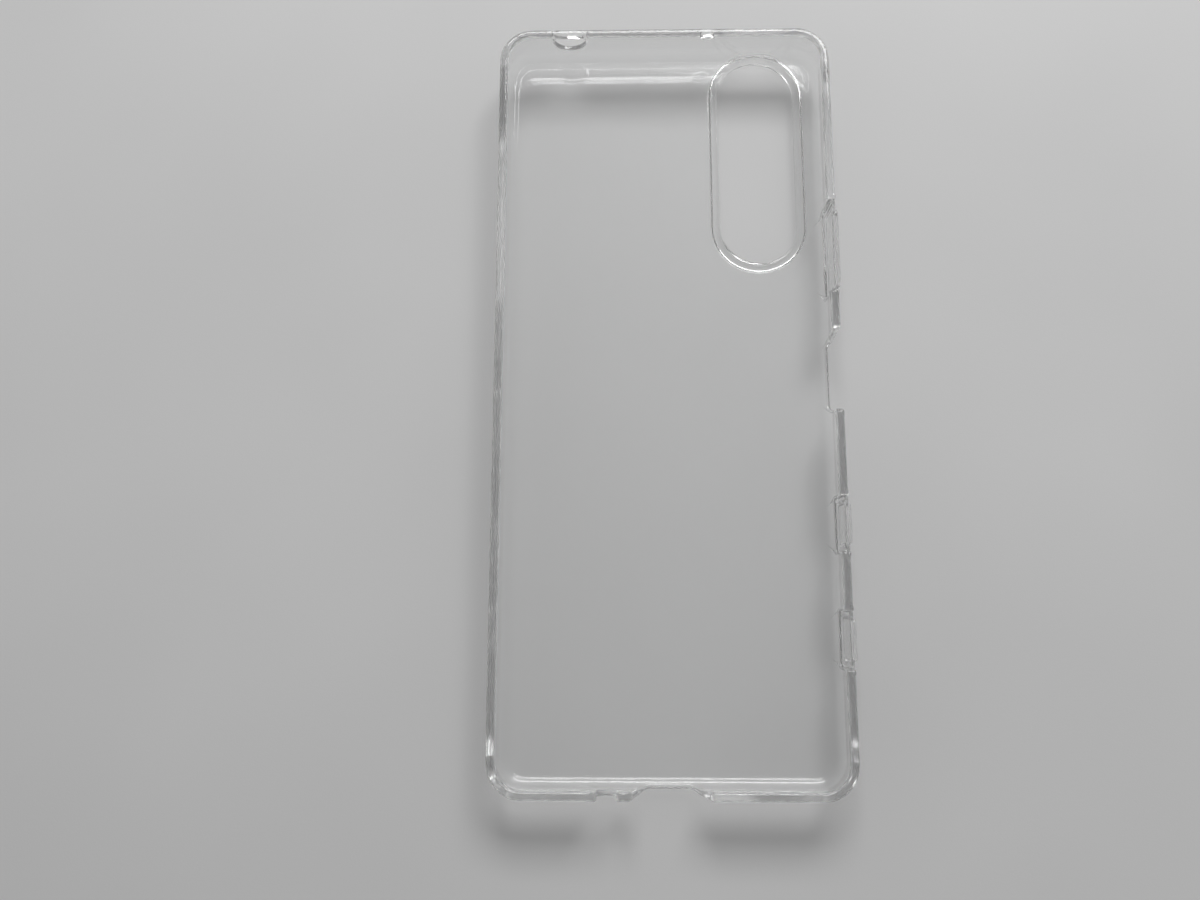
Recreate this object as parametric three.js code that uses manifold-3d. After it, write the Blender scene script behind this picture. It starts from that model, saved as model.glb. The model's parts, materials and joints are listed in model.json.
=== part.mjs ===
// A clear, flexible case for a slim, tall phone, lying on its back with its open side up.
// Units are millimetres. +X points to the side that carries the keys, +Y to the end with the
// headphone hole, and +Z out of the open side. The origin is the centre of the back panel's
// outer face. The case is one soft moulding: its regions are separate meshes that meet face to
// face, and each key cover is a body of its own that moves on the thin wall around it.
import * as THREE from 'three';
import { mergeVertices } from 'three/addons/utils/BufferGeometryUtils.js';
import Module from 'manifold-3d';

const wasm = await Module();
wasm.setup();

// ---- Driving dimensions ----

const PHONE_WIDTH = 68;
const PHONE_LENGTH = 157;
const PHONE_THICKNESS = 8.2;
const FIT_GAP = 0.2; // between the phone and each wall

const WALL = 1.3;
const PANEL = 1.2;
const LIP_HEIGHT = 0.8; // how far the rim stands above the phone's front
const LIP_REACH = 0.5; // how far the lip leans in over the phone
const LIP_SLOPE = 0.4; // height of the lip's slanted underside
const BACK_EDGE_RADIUS = 3.8; // rolled edge between the panel and the walls, outside
const FILLET_RADIUS = 1.5; // between the panel and the walls, inside
const CORNER_RADIUS = 7; // outside corners, seen from above

const CAMERA_WINDOW = { centreX: 20.9, lowY: 30, highY: 77.9, radius: 8.4 };
const SURROUND_WIDTH = 1.95;
const SURROUND_PROUD = 1.1; // how far the camera surround stands out of the back

const KEY_HEIGHT = 5.2;
const KEY_LOW_Z = 3;
const KEY_PROUD = 0.95; // how far a key cover stands out of the side
const KEY_CHAMFER = 0.4;
const KEY_CORNER = 0.9;
const WEB_THICKNESS = 0.6; // the thin wall that a key cover sits in
const WEB_MARGIN = 1.4; // how far the thin wall runs past a cover's ends
const WEB_LOW_Z = 2.4;
const WEB_CORNER = 1;
const MOVING_GAP = 0.3;
const KEYS = [
  { name: 'volume_key', centreY: 30.6, length: 17 },
  { name: 'assistant_key', centreY: -27.4, length: 8.3 },
  { name: 'shutter_key', centreY: -50.1, length: 8.3 },
];

const POWER_CUTOUT = { lowAlong: -4.4, highAlong: 12.5, floorZ: 1.9, lean: 1.2, corner: 1 };
const CHARGING_NOTCH = { lowAlong: -7.9, highAlong: 7.6, floorZ: 2, lean: 2.6, corner: 1.4 };
const JACK_HOLE = { centre: -20.5, radius: 3.7, bottomZ: 4.3, headZ: 9.2 };
const TOP_MICROPHONE_HOLE = { centre: 9.5, radius: 2.15, bottomZ: 8, headZ: 9.2 };
const BOTTOM_MICROPHONE_NOTCH = { centre: -12.5, radius: 1.9, bottomZ: 4.6 };

const ARC_STEPS = 8; // steps in each round stretch of an outline
const KEY_ARC_STEPS = 4; // steps in each corner of a key cover
const EDGE_STEPS = 5; // steps round the rolled edge

// ---- Derived dimensions ----

const HALF_WIDTH = PHONE_WIDTH / 2 + FIT_GAP + WALL;
const HALF_LENGTH = PHONE_LENGTH / 2 + FIT_GAP + WALL;
const RIM_Z = PANEL + PHONE_THICKNESS + LIP_HEIGHT;
const FLAT_HALF_WIDTH = HALF_WIDTH - BACK_EDGE_RADIUS;
const FLAT_HALF_LENGTH = HALF_LENGTH - BACK_EDGE_RADIUS;
const FLAT_CORNER = CORNER_RADIUS - BACK_EDGE_RADIUS;
const LIP_LOW_Z = RIM_Z - LIP_HEIGHT;
const STRAIGHT_HALF_WIDTH = HALF_WIDTH - CORNER_RADIUS;
const STRAIGHT_HALF_LENGTH = HALF_LENGTH - CORNER_RADIUS;
const OVERSHOOT = 4; // how far a cutting shape runs past what it cuts

// ---- Solids ----

function solid(geometry) {
  const bare = geometry.clone();
  bare.deleteAttribute('normal');
  bare.deleteAttribute('uv');
  const merged = mergeVertices(bare);
  const vertProperties = new Float32Array(merged.attributes.position.array);
  const triVerts = new Uint32Array(merged.index.array);
  return new wasm.Manifold(new wasm.Mesh({ numProp: 3, vertProperties, triVerts }));
}

function geometryOf(manifold) {
  const mesh = manifold.getMesh();
  const geometry = new THREE.BufferGeometry();
  geometry.setAttribute('position', new THREE.BufferAttribute(mesh.vertProperties, 3));
  geometry.setIndex(new THREE.BufferAttribute(mesh.triVerts, 1));
  geometry.computeVertexNormals();
  return geometry;
}

function block(low, high) {
  const [x, y, z] = high.map((value, axis) => value - low[axis]);
  const geometry = new THREE.BoxGeometry(x, y, z);
  geometry.translate(...high.map((value, axis) => (value + low[axis]) / 2));
  return solid(geometry);
}

function prism(shape, low, high) {
  const options = { depth: high - low, bevelEnabled: false, curveSegments: ARC_STEPS };
  return solid(new THREE.ExtrudeGeometry(shape, options).translate(0, 0, low));
}

// A shape swept upwards from z = low, whose lower edge is rolled outwards by `radius`.
function rolledPrism(shape, low, high, radius, steps) {
  const geometry = new THREE.ExtrudeGeometry(shape, {
    depth: high - low,
    bevelThickness: radius,
    bevelSize: radius,
    bevelSegments: steps,
    curveSegments: ARC_STEPS,
  });
  return solid(geometry.translate(0, 0, low + radius));
}

// ---- Outlines ----

function roundedRectangle(lowX, highX, lowY, highY, radius) {
  const shape = new THREE.Shape();
  const quarter = Math.PI / 2;
  shape.absarc(highX - radius, highY - radius, radius, 0, quarter);
  shape.absarc(lowX + radius, highY - radius, radius, quarter, 2 * quarter);
  shape.absarc(lowX + radius, lowY + radius, radius, 2 * quarter, 3 * quarter);
  shape.absarc(highX - radius, lowY + radius, radius, 3 * quarter, 4 * quarter);
  shape.closePath();
  return shape;
}

function centredRectangle(halfX, halfY, radius) {
  return roundedRectangle(-halfX, halfX, -halfY, halfY, radius);
}

function windowOutline(margin) {
  const { centreX, lowY, highY, radius } = CAMERA_WINDOW;
  const outer = radius + margin;
  return roundedRectangle(centreX - outer, centreX + outer, lowY - margin, highY + margin, outer);
}

// A notch that is open at the rim and ends in a half circle. Its outline lies in a wall's plane:
// x runs along the wall and y up it.
function roundNotch({ centre, radius, bottomZ }) {
  const shape = new THREE.Shape();
  shape.moveTo(centre - radius, RIM_Z + OVERSHOOT);
  shape.lineTo(centre - radius, bottomZ + radius);
  shape.absarc(centre, bottomZ + radius, radius, Math.PI, 2 * Math.PI);
  shape.lineTo(centre + radius, RIM_Z + OVERSHOOT);
  shape.closePath();
  return shape;
}

// A hole that passes under the rim, with a round foot and a flat head.
function roundHole({ centre, radius, bottomZ, headZ }) {
  const centreZ = bottomZ + radius;
  const rise = Math.asin((headZ - centreZ) / radius);
  const shape = new THREE.Shape();
  shape.absarc(centre, centreZ, radius, Math.PI - rise, 2 * Math.PI + rise);
  shape.closePath();
  return shape;
}

// A cut-out that is open at the rim, with a flat floor, leaning ends and rounded floor corners.
function leaningNotch({ lowAlong, highAlong, floorZ, lean, corner }) {
  const slope = lean / (RIM_Z - floorZ);
  const flare = slope * OVERSHOOT;
  const shape = new THREE.Shape();
  shape.moveTo(lowAlong - flare, RIM_Z + OVERSHOOT);
  shape.lineTo(lowAlong + lean - slope * corner, floorZ + corner);
  shape.quadraticCurveTo(lowAlong + lean, floorZ, lowAlong + lean + corner, floorZ);
  shape.lineTo(highAlong - lean - corner, floorZ);
  shape.quadraticCurveTo(highAlong - lean, floorZ, highAlong - lean + slope * corner, floorZ + corner);
  shape.lineTo(highAlong + flare, RIM_Z + OVERSHOOT);
  shape.closePath();
  return shape;
}

// ---- Cuts through the walls ----

const X_AXIS = new THREE.Vector3(1, 0, 0);
const Y_AXIS = new THREE.Vector3(0, 1, 0);
const Z_AXIS = new THREE.Vector3(0, 0, 1);

// An outline whose x runs along Y and y along Z, swept along +X between two places.
function sweptAlongX(shape, lowX, highX, bevel = {}) {
  const options = { bevelEnabled: false, curveSegments: KEY_ARC_STEPS, ...bevel };
  const geometry = new THREE.ExtrudeGeometry(shape, { depth: highX - lowX, ...options });
  geometry.applyMatrix4(new THREE.Matrix4().makeBasis(Y_AXIS, Z_AXIS, X_AXIS));
  return solid(geometry.translate(lowX, 0, 0));
}

// An outline whose x runs along X and y along Z, swept through the end wall on one side of zero.
function sweptThroughEnd(shape, side) {
  const depth = WALL + BACK_EDGE_RADIUS + 2 * OVERSHOOT;
  const geometry = new THREE.ExtrudeGeometry(shape, {
    depth,
    bevelEnabled: false,
    curveSegments: ARC_STEPS,
  });
  geometry.applyMatrix4(new THREE.Matrix4().makeBasis(X_AXIS, Z_AXIS, Y_AXIS.clone().negate()));
  const centre = side * HALF_LENGTH + depth / 2;
  return solid(geometry.translate(0, centre, 0));
}

function keyZoneOutline(key) {
  const half = key.length / 2 + WEB_MARGIN;
  const top = RIM_Z + OVERSHOOT;
  return roundedRectangle(key.centreY - half, key.centreY + half, WEB_LOW_Z, top, WEB_CORNER);
}

function keyOutline(key, margin) {
  const half = key.length / 2 + margin;
  const low = KEY_LOW_Z - margin;
  const high = KEY_LOW_Z + KEY_HEIGHT + margin;
  const corner = KEY_CORNER + Math.max(margin, 0);
  return roundedRectangle(key.centreY - half, key.centreY + half, low, high, corner);
}

// ---- The moulding ----

const flatOutline = centredRectangle(FLAT_HALF_WIDTH, FLAT_HALF_LENGTH, FLAT_CORNER);

function caseEnvelope() {
  const body = rolledPrism(flatOutline, 0, RIM_Z + OVERSHOOT, BACK_EDGE_RADIUS, EDGE_STEPS);
  const belowRim = block(
    [-HALF_WIDTH - OVERSHOOT, -HALF_LENGTH - OVERSHOOT, -OVERSHOOT],
    [HALF_WIDTH + OVERSHOOT, HALF_LENGTH + OVERSHOOT, RIM_Z],
  );
  return body.intersect(belowRim);
}

// The space that the phone fills: a rolled floor, straight sides, then the narrower mouth that
// the lip leaves.
function phoneSpace() {
  const innerHalfWidth = HALF_WIDTH - WALL;
  const innerHalfLength = HALF_LENGTH - WALL;
  const innerCorner = CORNER_RADIUS - WALL;
  const mouth = centredRectangle(
    innerHalfWidth - LIP_REACH,
    innerHalfLength - LIP_REACH,
    innerCorner - LIP_REACH,
  );
  const straightTop = LIP_LOW_Z - LIP_SLOPE;
  const floor = centredRectangle(
    innerHalfWidth - FILLET_RADIUS,
    innerHalfLength - FILLET_RADIUS,
    innerCorner - FILLET_RADIUS,
  );
  const lower = rolledPrism(floor, PANEL, RIM_Z + OVERSHOOT, FILLET_RADIUS, EDGE_STEPS);
  const belowLip = block(
    [-HALF_WIDTH, -HALF_LENGTH, 0],
    [HALF_WIDTH, HALF_LENGTH, straightTop],
  );
  const slope = new THREE.ExtrudeGeometry(mouth, {
    depth: WALL,
    bevelThickness: LIP_SLOPE,
    bevelSize: LIP_REACH,
    bevelSegments: 1,
    curveSegments: ARC_STEPS,
  });
  slope.translate(0, 0, straightTop - WALL);
  const opening = prism(mouth, straightTop, RIM_Z + OVERSHOOT);
  return lower.intersect(belowLip).add(solid(slope)).add(opening);
}

const envelope = caseEnvelope();
const windowCut = prism(windowOutline(0), -OVERSHOOT, PANEL + BACK_EDGE_RADIUS);
const panelPrism = prism(flatOutline, -OVERSHOOT, RIM_Z + OVERSHOOT);

function wallRing() {
  let ring = envelope.subtract(phoneSpace()).subtract(panelPrism).subtract(windowCut);
  const endCuts = [
    sweptThroughEnd(roundHole(JACK_HOLE), 1),
    sweptThroughEnd(roundHole(TOP_MICROPHONE_HOLE), 1),
    sweptThroughEnd(roundNotch(BOTTOM_MICROPHONE_NOTCH), -1),
    sweptThroughEnd(leaningNotch(CHARGING_NOTCH), -1),
  ];
  const sideLow = HALF_WIDTH - WALL - OVERSHOOT;
  const sideHigh = HALF_WIDTH + OVERSHOOT;
  const sideCuts = [
    sweptAlongX(leaningNotch(POWER_CUTOUT), sideLow, sideHigh),
    ...KEYS.map((key) => sweptAlongX(keyZoneOutline(key), sideLow, sideHigh)),
  ];
  for (const cut of [...endCuts, ...sideCuts]) {
    ring = ring.subtract(cut);
  }
  return ring;
}

// The part of the wall ring inside a box in plan, given by two opposite corners.
function wallRegion(ring, lowX, lowY, highX, highY) {
  return ring.intersect(block([lowX, lowY, -OVERSHOOT], [highX, highY, RIM_Z + OVERSHOOT]));
}

function backPanel() {
  return prism(flatOutline, 0, PANEL).subtract(prism(windowOutline(SURROUND_WIDTH), -OVERSHOOT, OVERSHOOT));
}

// The thick ring round the camera window. Under the flat panel it takes up the panel's whole
// thickness, and at its top end it fills up to the rolled back edge.
function cameraSurround() {
  const proud = prism(windowOutline(SURROUND_WIDTH), -SURROUND_PROUD, BACK_EDGE_RADIUS);
  const throughPanel = prism(windowOutline(SURROUND_WIDTH), 0, PANEL).intersect(panelPrism);
  return proud.subtract(envelope).add(throughPanel).subtract(windowCut);
}

function keyCover(key) {
  const inside = HALF_WIDTH - WEB_THICKNESS;
  const outside = HALF_WIDTH + KEY_PROUD;
  const chamfered = sweptAlongX(keyOutline(key, -KEY_CHAMFER), inside, outside - KEY_CHAMFER, {
    bevelEnabled: true,
    bevelThickness: KEY_CHAMFER,
    bevelSize: KEY_CHAMFER,
    bevelSegments: 2,
  });
  const outward = block(
    [inside, key.centreY - key.length, 0],
    [outside + OVERSHOOT, key.centreY + key.length, RIM_Z],
  );
  return chamfered.intersect(outward);
}

function keyWeb(key) {
  const sheet = sweptAlongX(keyZoneOutline(key), HALF_WIDTH - WEB_THICKNESS, HALF_WIDTH);
  const hole = sweptAlongX(keyOutline(key, MOVING_GAP), HALF_WIDTH - OVERSHOOT, HALF_WIDTH + OVERSHOOT);
  const belowLip = block(
    [0, key.centreY - key.length, 0],
    [HALF_WIDTH + OVERSHOOT, key.centreY + key.length, LIP_LOW_Z],
  );
  return sheet.subtract(hole).intersect(envelope).intersect(belowLip);
}

// ---- Assembly ----

const clearMoulding = new THREE.MeshStandardMaterial({
  name: 'clear_moulding',
  color: 0xe4e7e8,
  roughness: 0.12,
  metalness: 0,
  transparent: true,
  opacity: 0.35,
});

const phoneCase = new THREE.Group();

function place(name, manifold) {
  const mesh = new THREE.Mesh(geometryOf(manifold), clearMoulding.clone());
  mesh.name = name;
  phoneCase.add(mesh);
}

place('back_panel', backPanel());
place('camera_surround', cameraSurround());

const ring = wallRing();
const farX = HALF_WIDTH + OVERSHOOT;
const farY = HALF_LENGTH + OVERSHOOT;
place('side_wall_left', wallRegion(ring, -farX, -STRAIGHT_HALF_LENGTH, 0, STRAIGHT_HALF_LENGTH));
place('side_wall_right', wallRegion(ring, 0, -STRAIGHT_HALF_LENGTH, farX, STRAIGHT_HALF_LENGTH));
place('end_wall_top', wallRegion(ring, -STRAIGHT_HALF_WIDTH, 0, STRAIGHT_HALF_WIDTH, farY));
place('end_wall_bottom', wallRegion(ring, -STRAIGHT_HALF_WIDTH, -farY, STRAIGHT_HALF_WIDTH, 0));
place('corner_top_left', wallRegion(ring, -farX, STRAIGHT_HALF_LENGTH, -STRAIGHT_HALF_WIDTH, farY));
place('corner_top_right', wallRegion(ring, STRAIGHT_HALF_WIDTH, STRAIGHT_HALF_LENGTH, farX, farY));
place('corner_bottom_left', wallRegion(ring, -farX, -farY, -STRAIGHT_HALF_WIDTH, -STRAIGHT_HALF_LENGTH));
place('corner_bottom_right', wallRegion(ring, STRAIGHT_HALF_WIDTH, -farY, farX, -STRAIGHT_HALF_LENGTH));

for (const key of KEYS) {
  place(`${key.name}_cover`, keyCover(key));
  place(`${key.name}_web`, keyWeb(key));
}

export default phoneCase;
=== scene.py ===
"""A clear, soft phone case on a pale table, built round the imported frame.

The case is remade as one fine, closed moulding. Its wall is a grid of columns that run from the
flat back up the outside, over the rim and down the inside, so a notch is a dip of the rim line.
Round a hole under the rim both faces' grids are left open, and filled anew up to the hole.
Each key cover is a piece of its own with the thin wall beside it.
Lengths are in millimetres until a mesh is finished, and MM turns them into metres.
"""

import json
import math

import bmesh
import bpy
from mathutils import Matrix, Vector, noise
from mathutils.geometry import delaunay_2d_cdt
from mathutils.kdtree import KDTree


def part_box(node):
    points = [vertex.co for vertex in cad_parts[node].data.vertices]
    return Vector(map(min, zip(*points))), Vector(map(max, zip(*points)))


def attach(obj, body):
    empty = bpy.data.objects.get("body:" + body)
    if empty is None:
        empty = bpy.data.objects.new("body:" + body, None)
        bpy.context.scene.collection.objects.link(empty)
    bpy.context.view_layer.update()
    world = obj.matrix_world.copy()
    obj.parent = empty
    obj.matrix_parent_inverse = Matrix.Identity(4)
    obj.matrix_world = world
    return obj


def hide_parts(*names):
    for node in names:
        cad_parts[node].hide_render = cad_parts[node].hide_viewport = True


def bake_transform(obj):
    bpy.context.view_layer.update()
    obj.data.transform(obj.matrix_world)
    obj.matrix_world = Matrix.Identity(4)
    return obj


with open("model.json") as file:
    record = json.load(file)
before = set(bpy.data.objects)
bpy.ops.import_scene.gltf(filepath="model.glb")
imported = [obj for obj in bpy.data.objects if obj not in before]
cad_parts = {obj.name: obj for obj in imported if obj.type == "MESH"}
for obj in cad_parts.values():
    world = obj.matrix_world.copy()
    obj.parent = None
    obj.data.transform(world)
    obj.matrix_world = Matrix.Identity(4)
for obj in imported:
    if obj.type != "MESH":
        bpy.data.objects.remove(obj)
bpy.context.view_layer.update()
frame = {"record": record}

MM = 0.001
QUARTER = math.pi / 2


# ---- Sizes ----


def node_box(name):
    """Lowest and highest corner of a CAD node, in millimetres."""
    low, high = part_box(name)
    return low / MM, high / MM


left_low, left_high = node_box("side_wall_left")
_, end_high = node_box("end_wall_top")
_, panel_high = node_box("back_panel")
corner_low, corner_high = node_box("corner_top_right")
surround_low, surround_high = node_box("camera_surround")

HALF_WIDTH = -left_low.x
HALF_LENGTH = end_high.y
RIM_Z = left_high.z
PANEL = panel_high.z
EDGE_RADIUS = HALF_WIDTH - panel_high.x  # the rolled back edge, outside
CORNER_RADIUS = corner_high.x - corner_low.x
HALF_X = HALF_WIDTH - CORNER_RADIUS  # half of the straight part of an end
HALF_Y = HALF_LENGTH - CORNER_RADIUS  # half of the straight part of a side

WALL = 1.3
FILLET_RADIUS = 1.5  # between the panel and the wall, inside
LIP_REACH = 0.5
LIP_LOW = RIM_Z - 0.8
LIP_SLOPE = 0.5
RIM_ROUND = 0.62

SURROUND_WIDTH = 1.95
SURROUND_FACE = surround_low.z
SURROUND_RADIUS = (surround_high.x - surround_low.x) / 2
SURROUND_ROUND = 0.85  # the edges of the surround's face
SURROUND_FILLET = 0.1  # where the surround meets the back
WINDOW_RADIUS = SURROUND_RADIUS - SURROUND_WIDTH
WINDOW_ROUND = 0.55  # the window's edge inside the case
WINDOW_X = (surround_high.x + surround_low.x) / 2
WINDOW_LOW_CENTRE = surround_low.y + SURROUND_RADIUS
WINDOW_HIGH_CENTRE = surround_high.y - SURROUND_RADIUS

KEYS = ("volume_key", "assistant_key", "shutter_key")
KEY_FOOT = 0.8  # lower corners of the thin wall beside a key's cover
SEAM = 0.03  # between a key's thin wall and the moulding
PAD_CORNER = 0.9
PAD_ROUND = 0.4
PAD_FILLET = 0.2
PAD_MARGIN = 0.35  # thin wall that goes with the pad, beyond its far end
WEB_OUTER_ROUND = 0.08  # the edges of a key's thin wall, outside and inside
WEB_INNER_ROUND = 0.2

HALVINGS = 50  # of an interval, to find a crossing in it


# ---- The outline in plan ----
# u is the distance along the outer outline, anticlockwise from the low end of the right side.

CORNER_ARC = CORNER_RADIUS * QUARTER
SIDE_LENGTHS = {"right": 2 * HALF_Y, "top": 2 * HALF_X, "left": 2 * HALF_Y, "bottom": 2 * HALF_X}
SIDE_STARTS = {
    "right": (Vector((HALF_WIDTH, -HALF_Y)), Vector((0, 1))),
    "top": (Vector((HALF_X, HALF_LENGTH)), Vector((-1, 0))),
    "left": (Vector((-HALF_WIDTH, HALF_Y)), Vector((0, -1))),
    "bottom": (Vector((-HALF_X, -HALF_LENGTH)), Vector((1, 0))),
}
SIDE_U = {}
TOTAL_U = 0.0
for side_name, side_length in SIDE_LENGTHS.items():
    SIDE_U[side_name] = TOTAL_U
    TOTAL_U += side_length + CORNER_ARC


def along(side, place):
    """u of a place on a straight side, given its x or y."""
    start, direction = SIDE_STARTS[side]
    is_upright = direction.x == 0
    if is_upright:
        return SIDE_U[side] + (place - start.y) * direction.y
    return SIDE_U[side] + (place - start.x) * direction.x


def outline(u):
    """Point of the outer outline at u, and the unit vector into the case."""
    u %= TOTAL_U
    for side, length in SIDE_LENGTHS.items():
        start, direction = SIDE_STARTS[side]
        inward = Vector((-direction.y, direction.x))
        if u <= length:
            return start + direction * u, inward
        u -= length
        if u <= CORNER_ARC:
            centre = start + direction * length + inward * CORNER_RADIUS
            angle = u / CORNER_RADIUS
            outward = direction * math.sin(angle) - inward * math.cos(angle)
            return centre + outward * CORNER_RADIUS, -outward
        u -= CORNER_ARC
    return outline(0)


def plan(u, inset):
    """The point at u that lies inset inside the outline."""
    point, inward = outline(u)
    return point + inward * inset


def in_flat(point, margin=0.0):
    """Whether a point in plan lies on the flat of the back, at least margin inside its edge."""
    beyond_x = max(abs(point.x) - HALF_X, 0)
    beyond_y = max(abs(point.y) - HALF_Y, 0)
    return math.hypot(beyond_x, beyond_y) < CORNER_RADIUS - EDGE_RADIUS - margin


# ---- The camera window's outline, a slot with round ends ----


def spine_point(point):
    """The nearest point of the line that the window's outline is drawn round."""
    return Vector((WINDOW_X, min(max(point.y, WINDOW_LOW_CENTRE), WINDOW_HIGH_CENTRE)))


def window_distance(point):
    return (point.xy - spine_point(point)).length


def window_outline(radius, arc_step=0.9, straight_step=2.0):
    """Points round the window at that distance from its spine, anticlockwise."""
    height = WINDOW_HIGH_CENTRE - WINDOW_LOW_CENTRE
    arc_count = round(math.pi * radius / arc_step)
    straight_count = round(height / straight_step)
    points = []
    for turn, centre_y, leg in ((0, WINDOW_HIGH_CENTRE, -1), (math.pi, WINDOW_LOW_CENTRE, 1)):
        centre = Vector((WINDOW_X, centre_y))
        for i in range(arc_count):
            angle = turn + math.pi * i / arc_count
            points.append(centre + radius * Vector((math.cos(angle), math.sin(angle))))
        foot = centre + Vector((radius * leg, 0))
        for i in range(straight_count):
            points.append(foot + Vector((0, leg * height * i / straight_count)))
    return points


# ---- The rim line and its notches ----
# The rim line is drawn in the unrolled wall: (u, z). A notch is a run of its points, with how
# round the wall's edges are there, outside and inside.

ARC_STEP = 0.3
LEG_STEP = 0.45
RIM_STEP = 2.2
CORNER_STEP = 0.65
WINDOW_STEP = 0.6
LAST_STEP = 0.3  # the least distance from a run's last column to its end
CORNER_MARGIN = 0.6  # of close columns before a corner
WINDOW_MARGINS = (1.0, 2.5)  # of close columns before and after the camera window
NOTCH_MARGIN = 0.7  # how far the wall's columns lean out beyond a notch
MARGIN_STEPS = 3
BEYOND_NOTCH = 10.0  # a place on the rim well outside a notch

POWER_CUTOUT = (-4.4, 12.5)  # its ends on the rim
CHARGING_NOTCH = (-7.9, 7.6)
MICROPHONE_NOTCH_CENTRE = -12.5
LARGE_NOTCH_ROUNDS = (0.5, 0.5)  # the edges of a notch, outside and inside
SMALL_NOTCH_ROUNDS = (0.4, 0.4)
KEY_NOTCH_ROUNDS = (0.08, 0.4)


def arc_points(centre, radius, start, end):
    count = max(4, round(abs(end - start) * radius / ARC_STEP))
    points = []
    for i in range(count + 1):
        angle = start + (end - start) * i / count
        points.append(centre + radius * Vector((math.cos(angle), math.sin(angle))))
    return points


def fillet_points(before, corner, after, radius):
    """The arc that rounds a corner, from its first tangent point to its last."""
    towards_before = (before - corner).normalized()
    towards_after = (after - corner).normalized()
    half = towards_before.angle(towards_after) / 2
    bisector = (towards_before + towards_after).normalized()
    centre = corner + bisector * radius / math.sin(half)
    reach = radius / math.tan(half)
    first = corner + towards_before * reach - centre
    last = corner + towards_after * reach - centre
    start = math.atan2(first.y, first.x)
    turn = (math.atan2(last.y, last.x) - start + math.pi) % (2 * math.pi) - math.pi
    return arc_points(centre, radius, start, start + turn)


def angled_notch(low, high, floor, lean, foot, mouth):
    """A notch with a flat floor and straight legs that lean out towards the rim."""
    corners = [
        (low - BEYOND_NOTCH, RIM_Z, 0),
        (low, RIM_Z, mouth),
        (low + lean, floor, foot),
        (high - lean, floor, foot),
        (high, RIM_Z, mouth),
        (high + BEYOND_NOTCH, RIM_Z, 0),
    ]
    points = []
    for before, corner, after in zip(corners, corners[1:], corners[2:]):
        places = [Vector(c[:2]) for c in (before, corner, after)]
        points += fillet_points(*places, corner[2])
    return points


def round_notch(centre_u, radius, bottom, mouth):
    """A notch with a half circle at its foot, and a fillet where each leg meets the rim."""
    centre = Vector((centre_u, bottom + radius))
    rise = RIM_Z - mouth - centre.y
    tilt = 0.0
    reach = radius + mouth
    if rise < 0:
        reach = math.sqrt((radius + mouth) ** 2 - rise**2)
        tilt = math.atan2(-rise, reach)
    low_mouth = Vector((centre_u - reach, RIM_Z - mouth))
    high_mouth = Vector((centre_u + reach, RIM_Z - mouth))
    points = arc_points(low_mouth, mouth, QUARTER, tilt)
    points += arc_points(centre, radius, math.pi + tilt, 2 * math.pi - tilt)
    points += arc_points(high_mouth, mouth, math.pi - tilt, QUARTER)
    return points


def power_cutout():
    low, high = [along("right", place) for place in POWER_CUTOUT]
    return angled_notch(low, high, floor=1.9, lean=1.2, foot=1.4, mouth=1.0)


def charging_notch():
    low, high = [along("bottom", place) for place in CHARGING_NOTCH]
    return angled_notch(low, high, floor=2.0, lean=2.6, foot=1.8, mouth=0.8)


def microphone_notch():
    return round_notch(along("bottom", MICROPHONE_NOTCH_CENTRE), radius=1.9, bottom=4.6, mouth=0.5)


def key_notch(key):
    low, high = node_box(f"{key}_web")
    low_u, high_u = along("right", low.y), along("right", high.y)
    return angled_notch(low_u, high_u, floor=low.z, lean=0, foot=KEY_FOOT, mouth=0.6)


NOTCHES = [
    (power_cutout(), LARGE_NOTCH_ROUNDS),
    (charging_notch(), LARGE_NOTCH_ROUNDS),
    (microphone_notch(), SMALL_NOTCH_ROUNDS),
]
for key_name in KEYS:
    NOTCHES.append((key_notch(key_name), KEY_NOTCH_ROUNDS))
NOTCHES.sort(key=lambda notch: notch[0][0].x)


def plain_step(u):
    """Spacing of columns along the plain rim: closer round corners and by the window."""
    before_window, after_window = WINDOW_MARGINS
    window_start = along("top", WINDOW_X + SURROUND_RADIUS + before_window)
    window_end = along("top", WINDOW_X - SURROUND_RADIUS - after_window)
    if window_start <= u <= window_end:
        return WINDOW_STEP
    for side, length in SIDE_LENGTHS.items():
        corner_start = SIDE_U[side] + length
        if corner_start - CORNER_MARGIN <= u % TOTAL_U <= corner_start + CORNER_ARC:
            return CORNER_STEP
    return RIM_STEP


def between(start, end, step_at):
    """Points from start to end, both left out, as far apart as step_at says."""
    length = (end - start).length
    distance = 0.0
    points = []
    while length > 0:
        distance += step_at((start + (end - start) * (distance / length)).x)
        if distance > length - LAST_STEP:
            break
        points.append(start + (end - start) * (distance / length))
    return points


def margin_run(start, end, edge_from, edge_to):
    """Columns from start to end, end left out, while the edges' roundings change over."""
    run = []
    for i in range(MARGIN_STEPS):
        share = i / MARGIN_STEPS
        edge = [low + (high - low) * smooth_step(share) for low, high in zip(edge_from, edge_to)]
        run.append((start + (end - start) * share, edge))
    return run


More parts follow.
